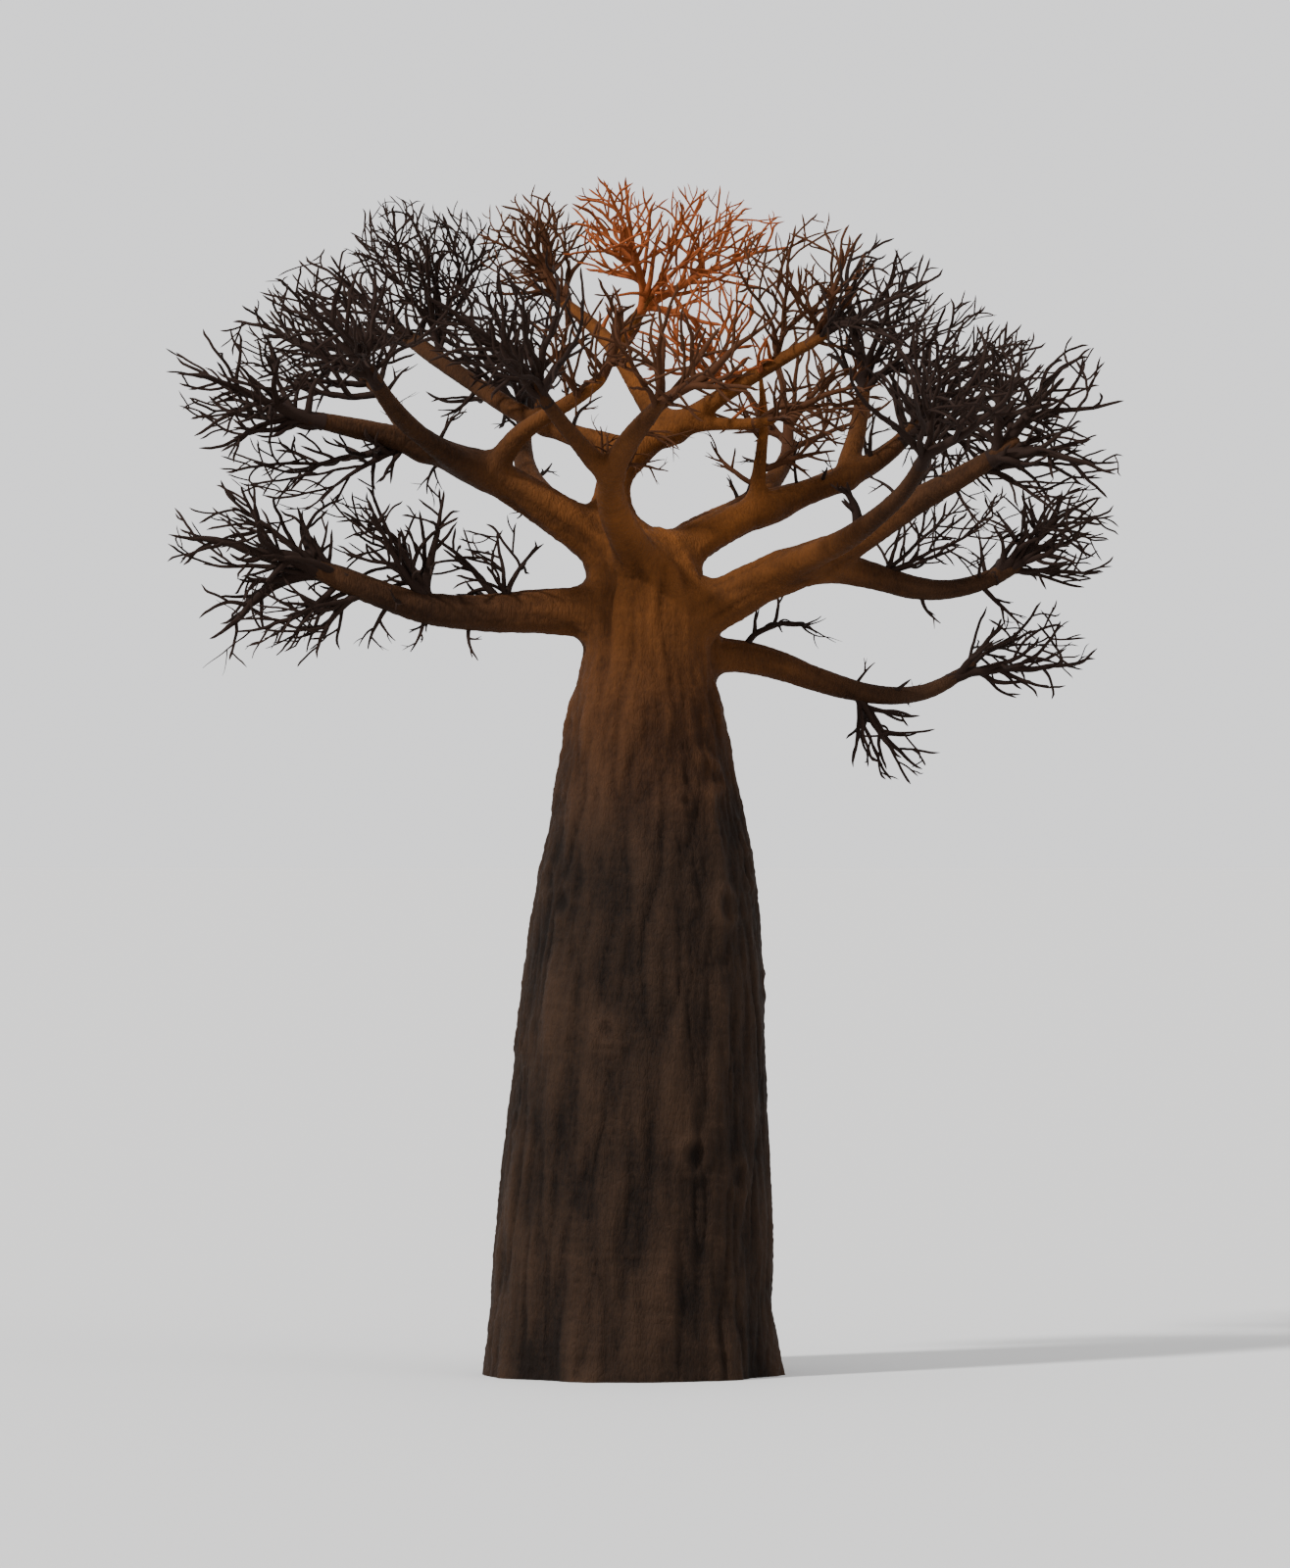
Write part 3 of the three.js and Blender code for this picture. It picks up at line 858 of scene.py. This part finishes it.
class Spray:
    """Boughs and twigs grown on from the limbs to fill one mass, each level off the one before."""

    def __init__(self, name, random, settings, heart):
        self.name = name
        self.random = random
        self.settings = settings
        self.heart = heart
        self.paths = []
        self.taken = np.zeros((40000, 3))
        self.used = 0
        self.course = np.zeros(3)
        corners = node_corners(name).reshape(-1, 3)
        low, high = corners.min(axis=0), corners.max(axis=0)
        self.middle = (low + high) / 2
        triangles = [(n, n + 1, n + 2) for n in range(0, len(corners), 3)]
        self.solid = BVHTree.FromPolygons([Vector(p) for p in corners], triangles)
        half = (high - low) / 2 * settings.swell
        drawn = self.middle + random.uniform(-half, half, (900, 3))
        self.empty = np.array([point for point in drawn if self.holds(point)])
        self.volume = np.prod(half * 2) * len(self.empty) / len(drawn)
        self.thinning = 0.86 if name in FULLER else 0.94 + 0.09 * abs(self.middle[1])

    def beyond(self, point):
        """How far a point is outside the mass, or inside it if less than nought, on a ray."""
        arm = Vector(point - self.middle)
        place, _, _, reach = self.solid.ray_cast(Vector(self.middle), arm)
        return arm.length - (reach if place else 0.0) * self.settings.swell

    def holds(self, point):
        """Whether a point is inside the mass."""
        return self.beyond(point) < 0

    def room(self, points):
        """How far each point is from the nearest twig so far."""
        taken = self.taken[: self.used]
        return np.linalg.norm(points[:, None] - taken[None], axis=2).min(axis=1)

    def flow(self, place):
        """The way twigs sweep at a place: out from the fork, and on through the mass."""
        return unit(0.7 * unit(place - self.heart) + 0.5 * self.course)

    def twig(self, place, heading, length, start, end, sweep, target=None):
        """Grows one curved twig and keeps it. Returns its places, headings and radii."""
        s = self.settings
        bow = self.random.normal(0.0, s.bow if target is None else 0.4 * s.bow, 3)
        places, headings = [place], [heading]
        entered = self.holds(place)
        closest = math.inf
        for k in range(max(3, round(length / s.step))):
            jitter = self.random.normal(0.0, s.jitter, 3)
            pull = sweep * self.flow(place)
            if target is not None:
                gap = target - place
                left = np.linalg.norm(gap)
                if left < 0.15 or left > closest + 0.08:
                    break
                closest = min(closest, left)
                pull = pull * 0.3 + gap / left * (0.17 + 0.16 / (left + 0.3))
            heading = unit(heading + pull + bow + jitter)
            following = place + heading * s.step
            inside = self.holds(following)
            if k > 2 and entered and not inside:
                break
            entered = entered or inside
            place = following
            places.append(place)
            headings.append(heading)
        places, headings = np.array(places), np.array(headings)
        if target is not None and self.used > 1:
            start = min(start, 0.02 + 0.06 * len(places) * s.step)
        share = np.linspace(0.0, 1.0, len(places))
        radii = start + (min(end, start) - start) * share ** (0.8 if target is None else 0.6)
        self.taken[self.used : self.used + len(places)] = places
        self.used += len(places)
        self.paths.append((places, radii))
        return places, headings, radii

    def grow(self, twigs, level):
        """Grows the next level off each twig: each bud takes the way with most room."""
        s = self.settings
        gap = s.bud_gaps[level] * self.thinning
        grown = []
        for places, headings, radii in twigs:
            last = len(places) - 1
            along = gap * self.random.uniform(0.3, 0.7) * (level + 1)
            while along < last * s.step:
                k = min(int(along / s.step), last)
                along += gap * self.random.uniform(0.7, 1.3)
                length = s.lengths[level] * self.random.uniform(0.65, 1.35)
                length *= 1.0 - 0.35 * k / max(last, 1)
                heading = self.open_way(places[k], headings[k], length, level)
                if heading is None:
                    continue
                start = min(radii[k] * 0.72, s.starts[level])
                end = max(start * 0.45, s.tip_radius)
                grown.append(self.twig(places[k], heading, length, start, end, s.sweeps[level]))
        return grown

    def open_way(self, place, forward, length, level):
        """The heading, of several at a wide angle to a twig, that leads where there is most room."""
        s = self.settings
        spread = self.random.uniform(0.55, 1.05, 9)
        around = unit(np.cross(forward, self.random.normal(0.0, 1.0, (9, 3))))
        ways = unit(forward * np.cos(spread)[:, None] + around * np.sin(spread)[:, None])
        ends = place + ways * length * 0.8
        inside = np.array([self.holds(end) for end in ends])
        room = np.minimum(self.room(ends), 0.5)
        score = room + 0.1 * (ways @ self.flow(place)) - 1.0 * ~inside
        best = int(np.argmax(score))
        if not inside[best] or room[best] < s.rooms[level] * self.thinning:
            return None
        return ways[best]


def pointed(places, radii, random):
    """A path led on past its end to a point."""
    heading = unit(places[-1] - places[-2])
    heading = unit(heading + random.normal(0.0, 0.25, 3))
    reach = random.uniform(0.8, 1.3) * (0.05 + 2.6 * radii[-1])
    more = places[-1] + heading * reach * np.array([[0.5], [1.0]])
    return np.vstack([places, more]), np.append(radii, radii[-1] * np.array([0.7, 0.2]))


def join_boughs(spray, limbs):
    """Leads spines into a mass: on from each bough's tip inside it, and off boughs beside it."""
    spines, tips, sides = [], [], []

    def lead(place, heading, girth, sweep, target):
        """Grows one spine to a target, or until it leaves the mass."""
        end = spray.settings.tip_radius
        spines.append(spray.twig(place, heading, SPINE_LENGTH, girth, end, sweep, target))

    for limb in (limbs[name] for name in BOUGHS):
        last = len(limb.points) - 1
        if spray.beyond(limb.points[last]) < limb.radii[last] + 0.3:
            tips.append((limb, last))
        for k in range(last - 2, 2, -3):
            if spray.beyond(limb.points[k]) < limb.radii[k] + 0.3:
                sides.append((limb, k))
    spray.taken[0] = spray.heart
    spray.used = 1
    for limb, last in tips:
        spray.course = unit(spray.middle - limb.points[last - 6] + 0.2 * limb.tangents[last])
        room = np.linalg.norm(spray.empty - limb.points[last], axis=1)
        ahead = unit(spray.empty - limb.points[last]) @ limb.tangents[last]
        target = spray.empty[np.argmax(room * (ahead > 0.55) + 0.01 * ahead)]
        k = last - 4
        lead(limb.points[k], limb.tangents[k], limb.radii[k], 0.0, target)
    if not tips and not sides:
        raise RuntimeError(f"no bough reaches {spray.name}")
    if not tips:
        gaps = [np.linalg.norm(limb.points[k] - spray.middle) for limb, k in sides]
        limb, k = sides[int(np.argmin(gaps))]
        k = max(k - 4, 2)
        spray.course = unit(spray.middle - limb.points[k])
        far = (spray.empty - limb.points[k]) @ spray.course
        girth = min(limb.radii[k] * 0.55, 0.1)
        heading = unit(limb.tangents[k] * 0.4 + spray.course)
        target = spray.empty[np.argmax(far)]
        lead(limb.points[k], heading, girth, 0.0, target)
    for _ in range(max(3, round(spray.volume * spray.settings.spines / spray.thinning))):
        room = spray.room(spray.empty)
        target = spray.empty[np.argmax(room)]
        if room.max() < 0.4:
            break
        options = [spot for spine in spines for spot in zip(*(part[1:-1] for part in spine))]
        options += [(limb.points[k], limb.tangents[k], limb.radii[k] * 0.6) for limb, k in sides]
        costs = []
        for place, heading, _ in options:
            gap = target - place
            away = np.linalg.norm(gap)
            costs.append(away * (1.8 - 1.3 * (gap @ heading) / away))
        place, heading, radius = options[int(np.argmin(costs))]
        heading = unit(heading + 0.8 * unit(target - place))
        lead(place, heading, min(radius * 0.85, 0.13), 0.05, target)
    return spines


def small_twigs(limbs, random, settings):
    """Paths for the small twigs on the boughs: the known ones, and more set at random."""
    paths = []

    def grow(place, heading, bend, length, start):
        """Keeps a short twig that bends steadily and tapers to a point."""
        places = [place]
        count = max(4, round(length / settings.step))
        for _ in range(count):
            heading = unit(heading + bend + random.normal(0.0, 0.07, 3))
            places.append(places[-1] + heading * length / count)
        share = np.linspace(0.0, 1.0, count + 1)
        paths.append((np.array(places), start * (1.0 - 0.75 * share**1.4)))
        return paths[-1]

    wanted = list(SMALL_TWIGS)
    for name in BOUGHS:
        for _ in range(int(limbs[name].along[-1] * 0.6)):
            heading = unit(random.normal(0.0, 1.0, 3) + [0.0, 0.0, 0.35])
            bend = random.normal(0.0, 0.09, 3)
            share = random.uniform(0.5, 0.97)
            size = random.uniform((0.35, 0.028), (0.8, 0.04))
            wanted.append((name, share, heading, bend, *size))
    for name, share, heading, bend, length, start in wanted:
        limb = limbs[name]
        k = int(share * (len(limb.points) - 1))
        tangent, girth = limb.tangents[k], limb.radii[k]
        heading = np.array(heading, float)
        heading = unit(heading - 0.6 * tangent * (heading @ tangent) + 0.25 * tangent)
        base = limb.points[k] + heading * girth * 0.6
        start = min(start, 0.45 * girth)
        places, radii = grow(base, heading, np.array(bend), length + 0.5 * girth, start)
        side = 1.0
        for m in range(3, len(places) - 2, 2):
            forward = unit(places[m + 1] - places[m])
            across = unit(np.cross(forward, [0.0, 1.0, 0.0]) + random.normal(0.0, 0.5, 3)) * side
            side = -side
            way = unit(forward + random.uniform(0.6, 1.1) * across)
            reach = length * random.uniform(0.35, 0.65)
            bend = random.normal(0.0, 0.1, 3)
            fork, girths = grow(places[m], way, bend, reach, radii[m] * 0.75)
            middle = len(fork) // 2
            way = unit(way + 0.8 * unit(random.normal(0.0, 1.0, 3)))
            grow(fork[middle], way, bend, reach * 0.5, girths[middle] * 0.8)
    return paths


def tubes_tree():
    """Turns branching lines into tapering tubes with closed ends, stems rounder than twigs."""
    sizes = {"Step": "Float", "Stem Sides": "Int", "Twig Sides": "Int", "Wobble": "Float"}
    make, give = new_tree("Twig tubes", {**sizes, "Seed": "Int", "Material": "Material"})
    is_stem = make.math("GREATER_THAN", make.stored("stem"), 0.5)
    inputs = {"Geometry": give["Geometry"], "Selection": is_stem}
    parts = make.add("GeometryNodeSeparateGeometry", inputs, domain="POINT")
    joined = make.add("GeometryNodeJoinGeometry")
    for part, sides in (("Selection", "Stem Sides"), ("Inverted", "Twig Sides")):
        line = make.add("GeometryNodeMeshToCurve", {"Mesh": parts.outputs[part]})
        inputs = {"Curve": line.outputs[0]}
        smooth = make.add("GeometryNodeCurveSplineType", inputs, spline_type="CATMULL_ROM")
        inputs = {"Curve": smooth.outputs[0], "Length": give["Step"]}
        fine = make.add("GeometryNodeResampleCurve", inputs, mode="LENGTH")
        inputs = {"W": make.times(give["Seed"], 1.3), "Scale": 5.0, "Detail": 1.0}
        noise = make.add("ShaderNodeTexNoise", inputs, noise_dimensions="4D")
        shift = make.vector("SUBTRACT", noise.outputs["Color"], (0.5, 0.5, 0.5))
        inputs = {"Geometry": fine.outputs[0], "Offset": make.scaled(shift, give["Wobble"])}
        wavy = make.add("GeometryNodeSetPosition", inputs)
        section = make.add("GeometryNodeCurvePrimitiveCircle", {"Resolution": give[sides], "Radius": 1.0})
        inputs = {"Curve": wavy.outputs[0], "Profile Curve": section.outputs[0]}
        inputs.update({"Scale": make.stored("girth"), "Fill Caps": True})
        tube = make.add("GeometryNodeCurveToMesh", inputs)
        make.feed(joined, {"Geometry": tube.outputs[0]})
    return make.finish(joined.outputs[0], give["Material"])


def tube_piece(name, paths, material, seed):
    """One piece of closed tapering tubes along paths of places and radii."""
    places = np.concatenate([p for p, _ in paths])
    radii = np.concatenate([r for _, r in paths])
    stems = np.concatenate([np.full(len(p), float(r.max() > 0.032)) for p, r in paths])
    edges = []
    start = 0
    for line, _ in paths:
        count = np.arange(start, start + len(line) - 1)
        edges.append(np.stack([count, count + 1], axis=1))
        start += len(line)
    lines = plain_mesh(name, places, np.concatenate(edges), [])
    store(lines, "girth", radii)
    store(lines, "stem", stems)
    piece = shown(name, lines)
    tree = bpy.data.node_groups.get("Twig tubes") or tubes_tree()
    sizes = {"Step": TUBE_STEP, "Stem Sides": 9, "Twig Sides": 6, "Wobble": 0.02}
    piece.data = grown(piece, tree, {**sizes, "Seed": seed, "Material": material})
    return piece


# Operators


class BAOBAB_OT_bark(bpy.types.Operator):
    """Make the bark skin over the trunk and all the boughs"""

    bl_idname = "baobab.bark"
    bl_label = "Bark"

    def execute(self, context):
        settings = context.scene.baobab_bark
        limbs = measured_limbs()
        places, faces = limb_skin(limbs, settings)
        mesh = plain_mesh("bark", places, [], faces)
        lays = bark_lay(limbs, places)
        lays["boss"] = bosses(limbs, places, settings)
        for name, values in lays.items():
            store(mesh, name, values)
        # Painted light: how strongly the bark takes the painted glow of a low sun behind the crown.
        store(mesh, "glow", bark_glow(places))
        skin = shown("bark", mesh)
        values = {
            "Fold Depth": settings.fold_depth,
            "Fold Width": settings.fold_width,
            "Wrinkle Depth": settings.wrinkle_depth,
            "Wrinkle Width": settings.wrinkle_width,
            "Seed": settings.seed,
            "Material": bark_material(settings),
        }
        relieved = grown(skin, relief_tree(), values)
        bpy.data.objects.remove(skin)
        parts = halves(relieved, SKIN_CUT)
        replaced = ([TRUNK], BOUGHS)
        for name, part, nodes in zip(("trunk_bark", "bough_bark"), parts, replaced):
            for spare in lays:
                part.attributes.remove(part.attributes[spare])
            piece = shown(name, part)
            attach(piece, "root")
            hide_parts(*nodes)
        return {"FINISHED"}


class BAOBAB_OT_snag(bpy.types.Operator):
    """Make the bare upright snag on the right high bough"""

    bl_idname = "baobab.snag"
    bl_label = "Snag"

    def execute(self, context):
        limb = measured_limbs()[SNAG]
        radii = limb.radii * np.clip(np.linspace(0.6, 1.3, len(limb.radii)), 0.0, 1.0)
        material = bpy.data.materials["Folded bark"]
        piece = tube_piece("snag", [(limb.points, radii)], material, context.scene.baobab_twigs.seed)
        places = np.empty(len(piece.data.vertices) * 3)
        piece.data.vertices.foreach_get("co", places)
        # Painted light: the snag's bark takes the same painted glow of a low sun behind the crown.
        store(piece.data, "glow", bark_glow(places.reshape(-1, 3)))
        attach(piece, "root")
        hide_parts(SNAG)
        return {"FINISHED"}


class BAOBAB_OT_twigs(bpy.types.Operator):
    """Grow an open spray of twigs in place of each mass"""

    bl_idname = "baobab.twigs"
    bl_label = "Twig sprays"

    def execute(self, context):
        settings = context.scene.baobab_twigs
        limbs = measured_limbs()
        materials = twig_materials(settings)
        heart = limbs[TRUNK].points[-1]
        for number, name in enumerate(MASSES):
            random = np.random.default_rng(settings.seed * 100 + number)
            spray = Spray(name, random, settings, heart)
            spines = join_boughs(spray, limbs)
            side_twigs = spray.grow(spines, 0)
            small = spray.grow(side_twigs + spines, 1)
            spray.grow(small, 2)
            paths = [pointed(places, radii, random) for places, radii in spray.paths]
            material = materials[twig_tint_and_glow(spray.middle)]
            piece = tube_piece(name.replace("_twigs", "_spray"), paths, material, number)
            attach(piece, "root")
            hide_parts(name)
        return {"FINISHED"}


class BAOBAB_OT_spurs(bpy.types.Operator):
    """Grow the small twigs that stand on the boughs themselves"""

    bl_idname = "baobab.spurs"
    bl_label = "Small twigs"

    def execute(self, context):
        settings = context.scene.baobab_twigs
        random = np.random.default_rng(settings.seed)
        paths = small_twigs(measured_limbs(), random, settings)
        for number, (shade, material) in enumerate(twig_materials(settings).items()):
            chosen = [path for path in paths if twig_tint_and_glow(path[0][0]) == shade]
            piece = tube_piece(f"{shade}_spurs", chosen, material, number)
            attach(piece, "root")
        return {"FINISHED"}


class BAOBAB_OT_stage(bpy.types.Operator):
    """Lay the floor and set the lights and the camera"""

    bl_idname = "baobab.stage"
    bl_label = "Stage"

    def execute(self, context):
        settings = context.scene.baobab_stage
        work = bmesh.new()
        bmesh.ops.create_circle(work, cap_ends=True, segments=96, radius=settings.floor_radius)
        mesh = bpy.data.meshes.new("floor")
        work.to_mesh(mesh)
        work.free()
        floor = shown("floor", mesh)
        material, make, shader = new_material("Pale floor")
        make.feed(shader, {"Base Color": opaque(settings.floor_colour), "Roughness": 0.9})
        mesh.materials.append(material)

        world = bpy.data.worlds.new("Studio")
        world.use_nodes = True
        backdrop = world.node_tree.nodes["Background"]
        backdrop.inputs["Color"].default_value = opaque((0.86, 0.86, 0.87))
        backdrop.inputs["Strength"].default_value = 1.5
        context.scene.world = world
        for name, strength, angle, turn in LAMPS:
            lamp = bpy.data.lights.new(name, "SUN")
            lamp.energy = strength
            lamp.angle = math.radians(angle)
            light = bpy.data.objects.new(name, lamp)
            light.rotation_euler = [math.radians(a) for a in turn]
            context.scene.collection.objects.link(light)

        data = bpy.data.cameras.new("camera")
        data.sensor_width = 36.0
        data.lens = data.sensor_width * settings.camera_distance / settings.view_height
        data.clip_end = 3000.0
        camera = bpy.data.objects.new("camera", data)
        camera.location = (CAMERA_AIM[0], -settings.camera_distance, CAMERA_AIM[1])
        camera.rotation_euler = (math.pi / 2, 0, 0)
        context.scene.collection.objects.link(camera)
        context.scene.camera = camera
        return {"FINISHED"}


class BAOBAB_PT_panel(bpy.types.Panel):
    """Lists the steps that make the tree"""

    bl_label = "Baobab Tree"
    bl_space_type = "VIEW_3D"
    bl_region_type = "UI"
    bl_category = "Baobab"

    def draw(self, context):
        for step in STEPS:
            self.layout.operator(step.bl_idname)


STEPS = (BAOBAB_OT_bark, BAOBAB_OT_snag, BAOBAB_OT_twigs, BAOBAB_OT_spurs, BAOBAB_OT_stage)
SETTINGS = {"baobab_bark": BarkSettings, "baobab_twigs": TwigSettings, "baobab_stage": StageSettings}


def register():
    """Registers the settings, the operators and the panel."""
    for name, group in SETTINGS.items():
        bpy.utils.register_class(group)
        setattr(bpy.types.Scene, name, PointerProperty(type=group))
    for step in STEPS:
        bpy.utils.register_class(step)
    bpy.utils.register_class(BAOBAB_PT_panel)


def unregister():
    """Removes what register added."""
    bpy.utils.unregister_class(BAOBAB_PT_panel)
    for step in reversed(STEPS):
        bpy.utils.unregister_class(step)
    for name, group in reversed(SETTINGS.items()):
        delattr(bpy.types.Scene, name)
        bpy.utils.unregister_class(group)


def main():
    """Makes the tree and its stage."""
    register()
    for step in STEPS:
        group, action = step.bl_idname.split(".")
        getattr(getattr(bpy.ops, group), action)()


if __name__ == "__main__":
    main()
